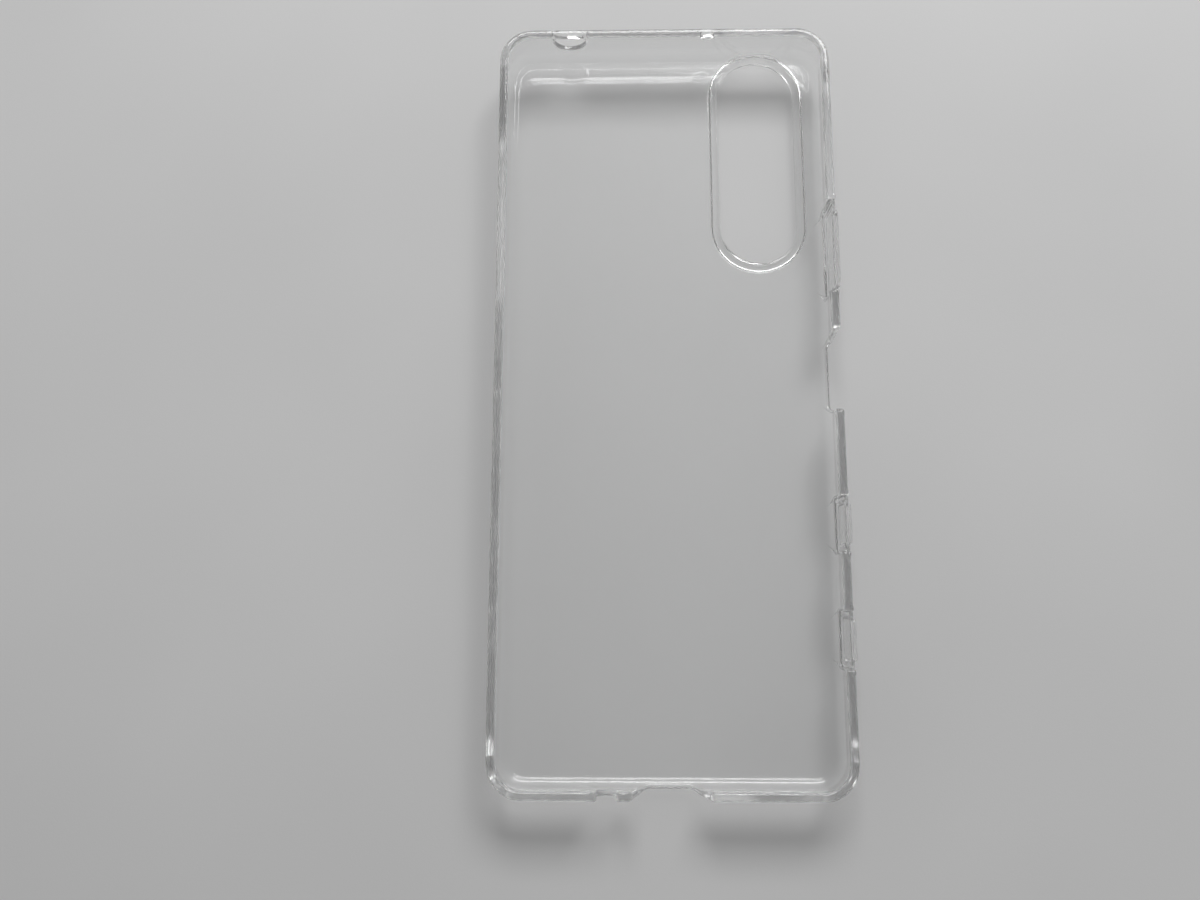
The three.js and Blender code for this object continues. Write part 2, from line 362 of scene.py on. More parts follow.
def rim_line():
    """The rim's columns as (point, roundings), and each notch's first and last column."""
    plain = (RIM_ROUND, RIM_ROUND)
    columns = [(Vector((0.0, RIM_Z)), plain)]
    zones = []
    for notch, edge in NOTCHES:
        start = Vector((notch[0].x - NOTCH_MARGIN, RIM_Z))
        end = Vector((notch[-1].x + NOTCH_MARGIN, RIM_Z))
        columns += [(point, plain) for point in between(columns[-1][0], start, plain_step)]
        first = len(columns)
        columns += margin_run(start, notch[0], plain, edge)
        previous = notch[0]
        for point in notch:
            columns += [(p, edge) for p in between(previous, point, lambda u: LEG_STEP)]
            columns.append((point, edge))
            previous = point
        columns += margin_run(notch[-1], end, edge, plain)[1:]
        columns.append((end, plain))
        zones.append((first, len(columns) - 1))
    last = Vector((TOTAL_U, RIM_Z))
    columns += [(point, plain) for point in between(columns[-1][0], last, plain_step)]
    return columns, zones


def rim_normals(points):
    """Unit vectors in the unrolled wall that point out of the material, one per column."""
    period = Vector((TOTAL_U, 0))
    around = [points[-1] - period, *points, points[0] + period]
    normals = []
    for before, point, after in zip(around, around[1:], around[2:]):
        direction = (point - before).normalized() + (after - point).normalized()
        direction.normalize()
        normals.append(Vector((-direction.y, direction.x)))
    return normals


def column_feet(points, zones):
    """u at the foot of each column, spread evenly under each notch's run of the rim."""
    feet = [point.x for point in points]
    for first, last in zones:
        run = points[first : last + 1]
        distances = [0.0]
        for before, after in zip(run, run[1:]):
            distances.append(distances[-1] + (after - before).length)
        span = run[-1].x - run[0].x
        for i, distance in enumerate(distances):
            feet[first + i] = run[0].x + span * distance / distances[-1]
    return feet


# ---- Holes that pass under the rim ----
# Each is (place of its centre, radius, bottom, head, head's radius) in the unrolled wall.

HOLES = [
    (along("top", 9.5), 2.15, 8.0, 9.2, 5.0),
    (along("top", -20.5), 3.7, 4.3, 9.2, 6.0),
]
HOLE_CORNER = 0.25  # between a hole's arched head and its round foot
HOLE_ROUND = 0.25  # the edges of a hole
HOLE_MARGIN = 1.2  # of plain wall, beside a hole and below it, that is filled anew
FOOT_STEPS = 28  # along the arcs of a hole's outline
HEAD_STEPS = 12
HOLE_CORNER_STEPS = 6


def hole_outline(hole, grow=0.0):
    """The outline of a hole, grown by that much: a round foot under an arched head."""
    centre_u, radius, bottom, head, head_radius = hole
    foot_centre = Vector((centre_u, bottom + radius))
    head_centre = Vector((centre_u, head - head_radius))
    drop = head_centre.y - foot_centre.y
    foot_reach = radius - HOLE_CORNER
    rise = (foot_reach**2 - (head_radius - HOLE_CORNER) ** 2 + drop**2) / (2 * drop)
    reach = math.sqrt(foot_reach**2 - rise**2)
    tilt = math.atan2(rise, reach)
    head_tilt = math.atan2(rise - drop, reach)
    far_tilt, far_head_tilt = math.pi - tilt, math.pi - head_tilt
    near_corner = foot_centre + Vector((reach, rise))
    far_corner = foot_centre + Vector((-reach, rise))
    arcs = (
        (foot_centre, radius, far_tilt, 2 * math.pi + tilt, FOOT_STEPS),
        (near_corner, HOLE_CORNER, tilt, head_tilt, HOLE_CORNER_STEPS),
        (head_centre, head_radius, head_tilt, far_head_tilt, HEAD_STEPS),
        (far_corner, HOLE_CORNER, far_head_tilt, far_tilt, HOLE_CORNER_STEPS),
    )
    points = []
    for centre, arc_radius, start, end, steps in arcs:
        for i in range(steps):
            angle = start + (end - start) * i / steps
            points.append(centre + (arc_radius + grow) * Vector((math.cos(angle), math.sin(angle))))
    return points


# ---- The wall's two faces ----
# A face is followed by q, the distance along its section from the edge of the flat.


def smooth_step(value):
    value = min(max(value, 0.0), 1.0)
    return value * value * (3 - 2 * value)


def spread(start, end, count):
    """As many shares as count, evenly from start, up to but not at end."""
    return [start + (end - start) * i / count for i in range(count)]


class OuterFace:
    """The outside of the wall: the rolled edge, then straight up."""

    shares = [*spread(0, 1, 24), 1.0]
    window_radius = SURROUND_RADIUS + SURROUND_FILLET
    flat_z = 0.0

    @staticmethod
    def section(q):
        """(inset, z) at q."""
        arc = EDGE_RADIUS * QUARTER
        if q >= arc:
            return 0.0, EDGE_RADIUS + q - arc
        angle = q / EDGE_RADIUS
        return EDGE_RADIUS * (1 - math.sin(angle)), EDGE_RADIUS * (1 - math.cos(angle))

    @staticmethod
    def q_at(z):
        if z >= EDGE_RADIUS:
            return EDGE_RADIUS * QUARTER + z - EDGE_RADIUS
        return EDGE_RADIUS * math.acos(1 - z / EDGE_RADIUS)


class InnerFace:
    """The inside of the wall: the fillet, the straight, then the lip."""

    fillet_end = 0.40
    lip_start = 0.88
    shares = spread(0, fillet_end, 14) + spread(fillet_end, lip_start, 6)
    shares += [*spread(lip_start, 1, 12), 1.0]
    window_radius = WINDOW_RADIUS + WINDOW_ROUND
    flat_z = PANEL
    flat_run = EDGE_RADIUS - WALL - FILLET_RADIUS

    @staticmethod
    def section(q):
        """(inset, z) at q."""
        arc = FILLET_RADIUS * QUARTER
        q -= InnerFace.flat_run
        if q < 0:
            return WALL + FILLET_RADIUS - q, PANEL
        if q < arc:
            angle = q / FILLET_RADIUS
            inset = WALL + FILLET_RADIUS * (1 - math.sin(angle))
            return inset, PANEL + FILLET_RADIUS * (1 - math.cos(angle))
        z = PANEL + FILLET_RADIUS + q - arc
        lip = LIP_REACH * smooth_step((z - LIP_LOW + LIP_SLOPE) / LIP_SLOPE)
        return WALL + lip, z

    @staticmethod
    def q_at(z):
        height = z - PANEL
        if height >= FILLET_RADIUS:
            return InnerFace.flat_run + FILLET_RADIUS * QUARTER + height - FILLET_RADIUS
        return InnerFace.flat_run + FILLET_RADIUS * math.acos(1 - height / FILLET_RADIUS)


def face_point(face, top_q, foot, top_u, share):
    """Point on a face, that share of the way up the column from foot to (top_u, top_q)."""
    inset, z = face.section(top_q * share)
    place = plan(foot + (top_u - foot) * share, inset)
    return Vector((place.x, place.y, z))


HIGHEST_LEAVING = 0.6  # a share of the way up a column, above the camera window's outline


def leaving_share(face, top_q, foot, top_u):
    """How far up its column the camera window's outline lies, or 0 where it is clear of it."""
    if window_distance(face_point(face, top_q, foot, top_u, 0)) >= face.window_radius - 1e-6:
        return 0.0
    low, high = 0.0, HIGHEST_LEAVING
    for _ in range(HALVINGS):
        middle = (low + high) / 2
        point = face_point(face, top_q, foot, top_u, middle)
        if window_distance(point) < face.window_radius:
            low = middle
        else:
            high = middle
    return high


def flat_crossings(radius):
    """The two places u where the window's outline at that radius crosses the flat's edge."""
    middle_u = along("top", WINDOW_X)
    in_the_corner = along("top", HALF_X) - CORNER_ARC * 0.6
    beyond_the_window = middle_u + SURROUND_RADIUS + 2
    found = []
    for clear in (in_the_corner, beyond_the_window):
        inside = middle_u
        for _ in range(HALVINGS):
            middle = (clear + inside) / 2
            if window_distance(plan(middle, EDGE_RADIUS)) < radius:
                inside = middle
            else:
                clear = middle
        found.append(clear)
    return found


def wall_face(face, points, normals, roundings, feet):
    """Columns of a face, the same in the unrolled wall, and the columns just beside the window.

    The columns run from the flat to the rim's rounding."""
    feet = list(feet)
    for crossing in flat_crossings(face.window_radius):
        nearest = min(range(len(feet)), key=lambda i: abs(feet[i] - crossing))
        feet[nearest] = crossing
    columns = []
    charts = []
    on_window = []
    for i, (point, normal, rounding, foot) in enumerate(zip(points, normals, roundings, feet)):
        top = point - normal * rounding
        top_q = face.q_at(top.y)
        start = leaving_share(face, top_q, foot, top.x)
        if start > 0:
            on_window.append(i)
        places = [start + (1 - start) * share for share in face.shares]
        column = [face_point(face, top_q, foot, top.x, place) for place in places]
        columns.append(column)
        charts.append([Vector((foot + (top.x - foot) * p, q.z)) for p, q in zip(places, column)])
    return columns, charts, (on_window[0] - 1, on_window[-1] + 1)


def rim_cap(points, normals, edges, steps=5):
    """Columns over the rim from the outer face to the inner one, both left out."""
    columns = []
    for point, normal, roundings in zip(points, normals, edges):
        halves = []
        for face, rounding, into in ((OuterFace, roundings[0], 1), (InnerFace, roundings[1], -1)):
            low = point - normal * rounding
            inset, _ = face.section(face.q_at(low.y))
            half = []
            for i in range(1, steps + 1):
                angle = QUARTER * i / steps
                rise = low + normal * rounding * math.sin(angle)
                place = plan(rise.x, inset + into * rounding * (1 - math.cos(angle)))
                half.append(Vector((place.x, place.y, rise.y)))
            halves.append(half)
        columns.append(halves[0] + halves[1][::-1])
    return columns


# ---- Mesh helpers ----

FILL_CLEARANCE = 0.15  # of a fill's inner points from its outline
WELD_DISTANCE = 0.002
WARP_LENGTH = 38.0  # the moulding's slight unevenness: its length and its depths
WARP_SIDEWAYS = 0.07
WARP_UP = 0.05
WARP_SEED = 7  # without one the unevenness would differ from run to run


def add_grid(bm, columns, gaps=()):
    """Quads between each column of points and the next, and from the last to the first.

    A gap is (first column, last column, first row), where the quads up to the top are left out."""
    made = [[bm.verts.new(point) for point in column] for column in columns]
    for i, column in enumerate(made):
        following = made[(i + 1) % len(made)]
        rows = len(column) - 1
        for first, last, row in gaps:
            if first <= i < last:
                rows = row
        for j in range(rows):
            bm.faces.new((column[j], following[j], following[j + 1], column[j + 1]))
    for column in made:
        for vert in column:
            if not vert.link_faces:
                bm.verts.remove(vert)


def add_fill(bm, loops, inner_points, lift):
    """Triangles over the flat region that the first loop bounds and the others cut out of.

    An inner point is left out where it would come too close to a loop."""
    points = []
    polygons = []
    for loop in loops:
        polygons.append(list(range(len(points), len(points) + len(loop))))
        points += loop
    near = KDTree(len(points))
    for i, point in enumerate(points):
        near.insert(point.to_3d(), i)
    near.balance()
    kept = [point for point in inner_points if near.find(point.to_3d())[2] > FILL_CLEARANCE]
    only_inside = 1
    filled = delaunay_2d_cdt(points + kept, [], polygons, only_inside, 1e-7)
    found, triangles, sources = filled[0], filled[2], filled[5]
    verts = [bm.verts.new(lift(point)) for point in found]
    for triangle, source in zip(triangles, sources):
        in_a_hole = any(polygon > 0 for polygon in source)
        if not in_a_hole:
            bm.faces.new([verts[i] for i in triangle])
    for vert in verts:
        if not vert.link_faces:
            bm.verts.remove(vert)


noise.seed_set(WARP_SEED)


def soft_warp(point):
    """The slight unevenness of a soft moulding, as a shift in millimetres."""
    slow = noise.noise_vector(Vector((point.x, point.y, 0)) / WARP_LENGTH)
    rise = WARP_UP * slow.z * smooth_step((RIM_Z - point.z) / RIM_Z)
    return Vector((WARP_SIDEWAYS * slow.x, WARP_SIDEWAYS * slow.y, rise))


def finished_piece(bm, name):
    """A smooth, closed mesh object in metres from a bmesh in millimetres."""
    bmesh.ops.remove_doubles(bm, verts=bm.verts, dist=WELD_DISTANCE)
    bmesh.ops.recalc_face_normals(bm, faces=bm.faces)
    open_edges = sum(1 for edge in bm.edges if len(edge.link_faces) != 2)
    if open_edges:
        print(f"{name}: {open_edges} edges aren't shared by two faces")
    for vert in bm.verts:
        vert.co += soft_warp(vert.co)
        vert.co *= MM
    mesh = bpy.data.meshes.new(name)
    bm.to_mesh(mesh)
    bm.free()
    mesh.polygons.foreach_set("use_smooth", [True] * len(mesh.polygons))
    piece = bpy.data.objects.new(name, mesh)
    bpy.context.scene.collection.objects.link(piece)
    return piece


# ---- The moulding ----

FLAT_CLEARANCE = 0.15  # of the window's outline from the flat's edge


def flat_points(radius, spacing=4.0, margin=1.5, support=0.5, support_step=1.2):
    """Points of a grid over the flat outside the window, and a row close to each edge."""
    points = []
    for i in range(int(2 * HALF_WIDTH / spacing) + 1):
        for j in range(int(2 * HALF_LENGTH / spacing) + 1):
            point = Vector((i * spacing - HALF_WIDTH, j * spacing - HALF_LENGTH))
            if in_flat(point, margin) and window_distance(point) > radius + margin:
                points.append(point)
    count = int(TOTAL_U / support_step)
    for i in range(count):
        point = plan(TOTAL_U * i / count, EDGE_RADIUS + support)
        if window_distance(point) > radius + support:
            points.append(point)
    points += [p for p in window_outline(radius + support) if in_flat(p, support)]
    return points


def window_loop(columns, ends, face):
    """The window's outline on one face, as a closed loop of points, and how many are on columns.

    Beyond the flat's edge the outline runs along the feet of the wall's columns."""
    arch = [column[0] for column in columns[ends[0] : ends[1] + 1]]
    points = window_outline(face.window_radius)
    inside = [in_flat(point, FLAT_CLEARANCE) for point in points]
    first = next(i for i in range(len(points)) if inside[i] and not inside[i - 1])
    rest = points[first:] + points[:first]
    kept = [Vector((p.x, p.y, face.flat_z)) for p in rest if in_flat(p, FLAT_CLEARANCE)]
    return arch + kept, len(arch)


def add_flat(bm, columns, ends, loop, arch_count, face):
    """The flat of one face, outside the window."""
    edge = [column[0].xy for column in columns[ends[1] :]]
    edge += [column[0].xy for column in columns[: ends[0] + 1]]
    edge += [point.xy for point in reversed(loop[arch_count:])]
    inner_points = flat_points(face.window_radius)
    add_fill(bm, [edge], inner_points, lambda p: Vector((p.x, p.y, face.flat_z)))


def hole_gap(hole, charts):
    """The gap (first column, last column, first row) in a face's grid round a hole."""
    centre_u, radius, bottom, _, _ = hole
    reach = radius + HOLE_MARGIN
    first = max(i for i, chart in enumerate(charts) if chart[-1].x < centre_u - reach)
    last = min(i for i, chart in enumerate(charts) if chart[-1].x > centre_u + reach)
    low = bottom - HOLE_MARGIN
    rows = [sum(1 for place in chart if place.y < low) - 1 for chart in charts[first : last + 1]]
    return first, last, min(rows)


def add_round_hole(bm, face, charts, gap, hole, spacing=0.5):
    """The part of a face round a hole, up to the edge of the face's gap."""
    first, last, row = gap
    border = [chart[row] for chart in charts[first:last]]
    border += charts[last][row:-1]
    border += [chart[-1] for chart in charts[last:first:-1]]
    border += charts[first][:row:-1]
    heights = [place.y for place in charts[first][row + 1 : -1]]
    start, end = charts[first][-1].x, charts[last][-1].x
    count = round((end - start) / spacing)
    inner_points = []
    for i in range(1, count):
        inner_points += [Vector((start + (end - start) * i / count, z)) for z in heights]

    def lift(place):
        inset, _ = face.section(face.q_at(place.y))
        point = plan(place.x, inset)
        return Vector((point.x, point.y, place.y))

    add_fill(bm, [border, hole_outline(hole, HOLE_ROUND)], inner_points, lift)


def add_tunnel(bm, hole, steps=4):
    """The inside of a hole, with rounded edges on both faces of the wall."""
    columns = []
    for place, outer_place in zip(hole_outline(hole), hole_outline(hole, HOLE_ROUND)):
        away = (outer_place - place).normalized()
        thickness, _ = InnerFace.section(InnerFace.q_at(outer_place.y))
        rows = []
        for i in range(steps + 1):
            angle = QUARTER * i / steps
            rows.append((HOLE_ROUND * (1 - math.sin(angle)), HOLE_ROUND * (1 - math.cos(angle))))
        rows += [(grow, thickness - inset) for grow, inset in reversed(rows)]
        column = []
        for grow, inset in rows:
            spot = place + away * grow
            point = plan(spot.x, inset)
            column.append(Vector((point.x, point.y, spot.y)))
        columns.append(column)
    add_grid(bm, columns)


def edge_column(point, side_reach, last_reach, first_steps, side_steps, last_steps=6):
    """Section of a vertical side below point: a curve, the side, then the face's rounded edge.

    A reach is how far a place lies outwards from point, seen from the window's spine."""
    outward = (point.xy - spine_point(point)).normalized()
    section = []
    for i in range(first_steps + 1):
        angle = QUARTER * i / first_steps
        drop = abs(side_reach) * (1 - math.cos(angle))
        section.append((side_reach * math.sin(angle), point.z - drop))
    low = SURROUND_FACE + SURROUND_ROUND
    top = section[-1][1]
    for i in range(1, side_steps + 1):
        section.append((side_reach, top + (low - top) * i / side_steps))
    for i in range(1, last_steps + 1):
        angle = QUARTER * i / last_steps
        reach = side_reach + (last_reach - side_reach) * (1 - math.cos(angle))
        section.append((reach, low - SURROUND_ROUND * math.sin(angle)))
    column = []
    for reach, z in section:
        place = point.xy + outward * reach
        column.append(Vector((place.x, place.y, z)))
    return column


def build_moulding():
    rim, zones = rim_line()
    points = [point for point, _ in rim]
    edges = [edge for _, edge in rim]
    normals = rim_normals(points)
    feet = column_feet(points, zones)
    outer_edges = [edge[0] for edge in edges]
    inner_edges = [edge[1] for edge in edges]
    outer, outer_charts, outer_ends = wall_face(OuterFace, points, normals, outer_edges, feet)
    inner, inner_charts, inner_ends = wall_face(InnerFace, points, normals, inner_edges, feet)
    cap = rim_cap(points, normals, edges)
    bm = bmesh.new()
    add_grid(bm, [[low[-1]] + over + [high[-1]] for low, over, high in zip(outer, cap, inner)])
    for face, columns, charts in (
        (OuterFace, outer, outer_charts),
        (InnerFace, inner, inner_charts),
    ):
        gaps = [hole_gap(hole, charts) for hole in HOLES]
        add_grid(bm, columns, gaps)
        for gap, hole in zip(gaps, HOLES):
            add_round_hole(bm, face, charts, gap, hole)
    for hole in HOLES:
        add_tunnel(bm, hole)

    below, below_arch = window_loop(outer, outer_ends, OuterFace)
    above, above_arch = window_loop(inner, inner_ends, InnerFace)
    add_flat(bm, outer, outer_ends, below, below_arch, OuterFace)
    add_flat(bm, inner, inner_ends, above, above_arch, InnerFace)

    surround_reaches = (-SURROUND_FILLET, -SURROUND_FILLET - SURROUND_ROUND)
    window_reaches = (-WINDOW_ROUND, SURROUND_ROUND - WINDOW_ROUND)
    surround = [edge_column(point, *surround_reaches, 3, 3) for point in below]
    window = [edge_column(point, *window_reaches, 4, 4) for point in above]
    add_grid(bm, surround)
    add_grid(bm, window)
    face_loops = [[column[-1].xy for column in surround], [column[-1].xy for column in window]]
    add_fill(bm, face_loops, [], lambda p: Vector((p.x, p.y, SURROUND_FACE)))
    return finished_piece(bm, "case_moulding")


# ---- The key covers ----
# Their outlines are drawn in the side's plane: (y, z).

LEAST_RADIUS = 0.03  # of an outline's corner, however far it is inset


def rounded_loop(low, high, radii, inset=0.0, corner_steps=6, spacing=0.7):
    """A rectangle with rounded corners, inset from low and high, with as many points at any inset.

    The radii go anticlockwise from the low corner."""
    corners = (
        (Vector((low.x, low.y)), Vector((1, 1))),
        (Vector((high.x, low.y)), Vector((-1, 1))),
        (Vector((high.x, high.y)), Vector((-1, -1))),
        (Vector((low.x, high.y)), Vector((1, -1))),
    )
    lengths = (high.x - low.x, high.y - low.y) * 2
    arcs = []
    for i, ((corner, inward), radius) in enumerate(zip(corners, radii)):
        left_radius = max(radius - inset, LEAST_RADIUS)
        centre = corner + inward * (inset + left_radius)
        arc = []
        for j in range(corner_steps + 1):
            angle = math.pi + QUARTER * (i + j / corner_steps)
            arc.append(centre + left_radius * Vector((math.cos(angle), math.sin(angle))))
        arcs.append(arc)
    loop = []
    for i, (arc, length) in enumerate(zip(arcs, lengths)):
        loop += arc
        following = arcs[(i + 1) % 4][0]
        count = max(1, round(length / spacing))
        loop += [arc[-1] + (following - arc[-1]) * (k / count) for k in range(1, count)]
    return loop


def grid_inside(low, high, margin, spacing):
    """Points of a grid that keeps a margin from a rectangle's sides."""
    first = low + Vector((margin, margin))
    size = high - low - Vector((2 * margin, 2 * margin))
    count_x = max(1, round(size.x / spacing))
    count_y = max(1, round(size.y / spacing))
    points = []
    for i in range(count_x + 1):
        for j in range(count_y + 1):
            points.append(first + Vector((size.x * i / count_x, size.y * j / count_y)))
    return points


def side_point(place, height):
    """Point that height outside the moulding's side, at place = (y, z)."""
    inset, _ = OuterFace.section(OuterFace.q_at(place.y))
    return Vector((HALF_WIDTH - inset + height, place.x, place.y))


def outside(point, low, high, margin):
    """Whether a point is more than margin outside a rectangle."""
    clear_x = point.x < low.x - margin or point.x > high.x + margin
    clear_y = point.y < low.y - margin or point.y > high.y + margin
    return clear_x or clear_y


def add_loops(bm, low, high, radii, rows):
    """Faces between outlines of one rectangle, one per row (inset, height). Returns the loops."""
    loops = [rounded_loop(low, high, radii, inset) for inset, _ in rows]
    columns = []
    for i in range(len(loops[0])):
        columns.append([side_point(loop[i], height) for loop, (_, height) in zip(loops, rows)])
    add_grid(bm, columns)
    return loops


def quarter_turn(steps):
    """sin and cos of the angles of a quarter turn."""
    angles = [QUARTER * i / steps for i in range(steps + 1)]
    return [(math.sin(angle), math.cos(angle)) for angle in angles]


def add_web(bm, low, high, radii, thickness, pad=None, steps=3):
    """The thin wall in the rectangle low to high, as a closed sheet with rounded edges.

    pad is (low, high, height) of a cover that stands out of it."""
    rows = []
    for s, c in quarter_turn(steps):
        rows.append((WEB_OUTER_ROUND * (1 - s), -WEB_OUTER_ROUND * (1 - c)))
    for s, c in quarter_turn(steps):
        rows.append((WEB_INNER_ROUND * (1 - c), WEB_INNER_ROUND * (1 - s) - thickness))
    loops = add_loops(bm, low, high, radii, rows)
    inner_points = grid_inside(low, high, margin=0.45, spacing=0.7)
    add_fill(bm, [loops[-1]], inner_points, lambda p: side_point(p, -thickness))
    if pad is None:
        add_fill(bm, [loops[0]], inner_points, lambda p: side_point(p, 0))
        return
    pad_low, pad_high, pad_height = pad
    base = add_pad(bm, pad_low, pad_high, pad_height)
    clearance = PAD_FILLET + FILL_CLEARANCE
    around = [p for p in inner_points if outside(p, pad_low, pad_high, clearance)]
    add_fill(bm, [loops[0], base], around, lambda p: side_point(p, 0))


def add_pad(bm, low, high, height, foot_steps=3, top_steps=6):
    """A key cover's raised part. Returns the loop where it meets the thin wall."""
    rows = []
    for s, c in quarter_turn(foot_steps):
        rows.append((-PAD_FILLET * (1 - s), PAD_FILLET * (1 - c)))
    for s, c in quarter_turn(top_steps):
        rows.append((PAD_ROUND * (1 - c), height - PAD_ROUND * (1 - s)))
    loops = add_loops(bm, low, high, [PAD_CORNER] * 4, rows)
    inner_points = grid_inside(low, high, margin=PAD_ROUND + 0.3, spacing=0.8)
    add_fill(bm, [loops[-1]], inner_points, lambda p: side_point(p, height))
    return loops[0]


def build_key(key):
    """A key's cover with most of its thin wall, and the strip of thin wall beyond it."""
    web_low, web_high = node_box(f"{key}_web")
    pad_low, pad_high = node_box(f"{key}_cover")
    pad = (pad_low.yz, pad_high.yz, pad_high.x - HALF_WIDTH)
    thickness = HALF_WIDTH - web_low.x
    split = pad_high.y + PAD_MARGIN
    foot, top, cut = KEY_FOOT - SEAM, 0.3, 0.12

    cover = bmesh.new()
    low = Vector((web_low.y + SEAM, web_low.z + SEAM))
    high = Vector((split - SEAM / 2, web_high.z))
    add_web(cover, low, high, (foot, cut, cut, top), thickness, pad)

    strip = bmesh.new()
    low = Vector((split + SEAM / 2, web_low.z + SEAM))
    high = Vector((web_high.y - SEAM, web_high.z))
    add_web(strip, low, high, (cut, foot, top, cut), thickness)
    return finished_piece(cover, f"{key}_pad"), finished_piece(strip, f"{key}_strip")


# ---- Materials ----

# A face lets CLEAR_SHARE of the light straight through while Facing is below CLEAR_FACING, and
# only GRAZING_SHARE of it from GRAZING_FACING on.
CLEAR_SHARE, CLEAR_FACING = 0.99, 0.5
GRAZING_SHARE, GRAZING_FACING = 0.50, 0.95
LIP_SHARE = 0.45  # of that, from the lip up

CLEAR_COLOUR = (0.975, 0.978, 0.978, 1)
BUMP_DEPTH = 0.0001


def new_material(name):
    material = bpy.data.materials.new(name)
    material.use_nodes = True
    nodes = material.node_tree.nodes
    return material, nodes, material.node_tree.links, nodes["Principled BSDF"]


def noise_node(nodes, links, scale, detail, roughness=0.5):
    """A noise texture over the object's own coordinates; scale is in features per metre."""
    coordinates = nodes.new("ShaderNodeTexCoord")
    texture = nodes.new("ShaderNodeTexNoise")
    texture.inputs["Scale"].default_value = scale
    texture.inputs["Detail"].default_value = detail
    texture.inputs["Roughness"].default_value = roughness
    links.new(coordinates.outputs["Object"], texture.inputs["Vector"])
    return texture


def ranged(nodes, links, source, low, high, from_low=0.3, from_high=0.7):
    """A map of source's values to between low and high."""
    mapped = nodes.new("ShaderNodeMapRange")
    mapped.inputs["From Min"].default_value = from_low
    mapped.inputs["From Max"].default_value = from_high
    mapped.inputs["To Min"].default_value = low
    mapped.inputs["To Max"].default_value = high
    links.new(source, mapped.inputs["Value"])
    return mapped.outputs["Result"]


def light_let_through(nodes, links):
    """Share of light that goes straight on: less at a grazing angle and towards the lip."""
    glancing = nodes.new("ShaderNodeLayerWeight")
    facing = glancing.outputs["Facing"]
    shares = (CLEAR_SHARE, GRAZING_SHARE)
    share = ranged(nodes, links, facing, *shares, CLEAR_FACING, GRAZING_FACING)
    coordinates = nodes.new("ShaderNodeTexCoord")
    height = nodes.new("ShaderNodeSeparateXYZ")
    links.new(coordinates.outputs["Object"], height.inputs["Vector"])
    low, high = EDGE_RADIUS * MM, (LIP_LOW - LIP_SLOPE) * MM
    at_height = ranged(nodes, links, height.outputs["Z"], 1.0, LIP_SHARE, low, high)
    product = nodes.new("ShaderNodeMath")
    product.operation = "MULTIPLY"
    links.new(share, product.inputs[0])
    links.new(at_height, product.inputs[1])
    return product.outputs["Value"]


def clear_moulding_material():
    """Clear soft polyurethane, a little hazy, that lets the table's light straight through."""
    material, nodes, links, shader = new_material("clear_polyurethane")
    shader.inputs["Base Color"].default_value = CLEAR_COLOUR
    shader.inputs["Transmission Weight"].default_value = 0.95
    shader.inputs["IOR"].default_value = 1.49
    haze = noise_node(nodes, links, 180, 3)
    rough = ranged(nodes, links, haze.outputs["Fac"], 0.03, 0.09)
    links.new(rough, shader.inputs["Roughness"])

    ripple = noise_node(nodes, links, 90, 2)
    bump = nodes.new("ShaderNodeBump")
    bump.inputs["Strength"].default_value = 0.1
    bump.inputs["Distance"].default_value = BUMP_DEPTH
    links.new(ripple.outputs["Fac"], bump.inputs["Height"])
    links.new(bump.outputs["Normal"], shader.inputs["Normal"])

    light_path = nodes.new("ShaderNodeLightPath")
    passing = nodes.new("ShaderNodeBsdfTransparent")
    links.new(light_let_through(nodes, links), passing.inputs["Color"])
    surface = shader.outputs["BSDF"]
    for kind in ("Is Shadow Ray", "Is Diffuse Ray"):
        mixed = nodes.new("ShaderNodeMixShader")
        links.new(light_path.outputs[kind], mixed.inputs["Fac"])
        links.new(surface, mixed.inputs[1])
        links.new(passing.outputs["BSDF"], mixed.inputs[2])
        surface = mixed.outputs["Shader"]
    links.new(surface, nodes["Material Output"].inputs["Surface"])
    return material


def table_material():
    """A pale matt table top with a fine grain."""
    material, nodes, links, shader = new_material("pale_table")
    shader.inputs["Roughness"].default_value = 0.75
    grain = noise_node(nodes, links, 2500, 3, 0.6)
    cloud = noise_node(nodes, links, 12, 2)
    shade = ranged(nodes, links, cloud.outputs["Fac"], 0.70, 0.74)
    colour = nodes.new("ShaderNodeCombineColor")
    for channel in ("Red", "Green", "Blue"):
        links.new(shade, colour.inputs[channel])
    links.new(colour.outputs["Color"], shader.inputs["Base Color"])
    bump = nodes.new("ShaderNodeBump")
    bump.inputs["Strength"].default_value = 0.15
    bump.inputs["Distance"].default_value = BUMP_DEPTH
    links.new(grain.outputs["Fac"], bump.inputs["Height"])
    links.new(bump.outputs["Normal"], shader.inputs["Normal"])
    return material


# ---- Pieces on the frame ----

clear = clear_moulding_material()
case_nodes = frame["record"]["behaviour"]["bodies"]["case"]

moulding = build_moulding()
moulding.data.materials.append(clear)
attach(moulding, "case")
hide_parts(*[name for name in case_nodes if not name.endswith("_web")])

for key_name in KEYS:
    cover, strip = build_key(key_name)
    web_low, web_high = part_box(f"{key_name}_web")
    pad_low, pad_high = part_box(f"{key_name}_cover")
    spans = ((cover, web_low.y, pad_low.y), (strip, web_high.y, pad_high.y))
    for piece, start_y, end_y in spans:
        piece.data.materials.append(clear)
        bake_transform(piece)
    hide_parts(f"{key_name}_cover")
    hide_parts(f"{key_name}_web")


# ---- The table, the light and the camera, in metres ----

TABLE_SIZE = 3.0
TABLE_GAP = 0.00005  # keeps the case clear of the table
HORIZON = 0.65  # the surroundings' brightness
ZENITH = 0.06
WINDOW_PLACE = (0.10, 0.555, 0.51)
WINDOW_SIZE = (0.50, 0.26)
WINDOW_POWER = 3.8
CAMERA_PLACE = (-0.010454, -0.042730, 0.187982)
CAMERA_TURN = (0.1665, 0.018, 0.0016)
LENS = 27


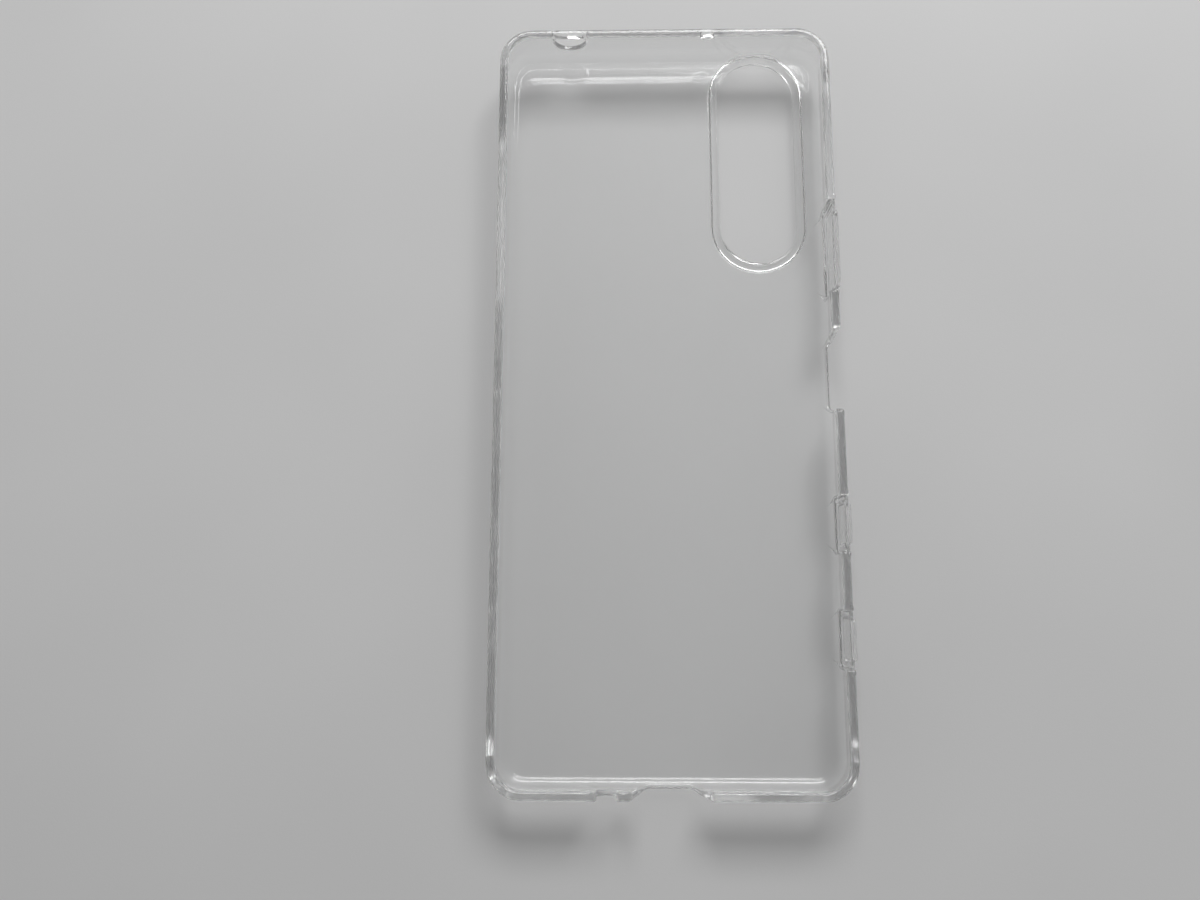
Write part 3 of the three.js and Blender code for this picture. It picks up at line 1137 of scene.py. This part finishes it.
def add_table():
    """A table top. The case leans on the end of its back and on the surround's near edge."""
    near = Vector((0, EDGE_RADIUS - HALF_LENGTH, 0)) * MM
    far = Vector((0, surround_low.y + SURROUND_ROUND, SURROUND_FACE)) * MM
    slope = math.atan2(far.z - near.z, far.y - near.y)
    half = TABLE_SIZE / 2
    corners = [(-half, -half, 0), (half, -half, 0), (half, half, 0), (-half, half, 0)]
    mesh = bpy.data.meshes.new("table_top")
    mesh.from_pydata(corners, [], [(0, 1, 2, 3)])
    mesh.materials.append(table_material())
    table = bpy.data.objects.new("table_top", mesh)
    table.location = near - Vector((0, 0, TABLE_GAP))
    table.rotation_euler = (slope, 0, 0)
    bpy.context.scene.collection.objects.link(table)


def add_area_light(name, location, target, size, power):
    light = bpy.data.lights.new(name, "AREA")
    light.shape = "RECTANGLE"
    light.size, light.size_y = size
    light.energy = power
    lamp = bpy.data.objects.new(name, light)
    lamp.location = location
    lamp.rotation_euler = (Vector(target) - lamp.location).to_track_quat("-Z", "Y").to_euler()
    bpy.context.scene.collection.objects.link(lamp)


def add_world():
    """Soft grey surroundings, brightest at the horizon."""
    world = bpy.data.worlds.new("soft_room")
    world.use_nodes = True
    bpy.context.scene.world = world
    nodes, links = world.node_tree.nodes, world.node_tree.links
    coordinates = nodes.new("ShaderNodeTexCoord")
    split = nodes.new("ShaderNodeSeparateXYZ")
    ramp = nodes.new("ShaderNodeValToRGB")
    ramp.color_ramp.elements[0].color = (HORIZON, HORIZON, HORIZON, 1)
    ramp.color_ramp.elements[1].color = (ZENITH, ZENITH, ZENITH, 1)
    links.new(coordinates.outputs["Generated"], split.inputs["Vector"])
    links.new(split.outputs["Z"], ramp.inputs["Fac"])
    links.new(ramp.outputs["Color"], nodes["Background"].inputs["Color"])


def add_camera():
    camera = bpy.data.cameras.new("camera")
    camera.lens = LENS
    camera.sensor_width = 36
    camera.clip_start = 0.01
    holder = bpy.data.objects.new("camera", camera)
    holder.location = CAMERA_PLACE
    holder.rotation_euler = CAMERA_TURN
    bpy.context.scene.collection.objects.link(holder)
    bpy.context.scene.camera = holder


add_table()
add_area_light("window", WINDOW_PLACE, (0, 0, 0), WINDOW_SIZE, WINDOW_POWER)
add_world()
add_camera()

# Light meets the walls' faces many times before it leaves them.
scene = bpy.context.scene
scene.view_settings.view_transform = "Standard"
scene.cycles.max_bounces = 20
scene.cycles.glossy_bounces = 16
scene.cycles.transmission_bounces = 16
scene.cycles.transparent_max_bounces = 16
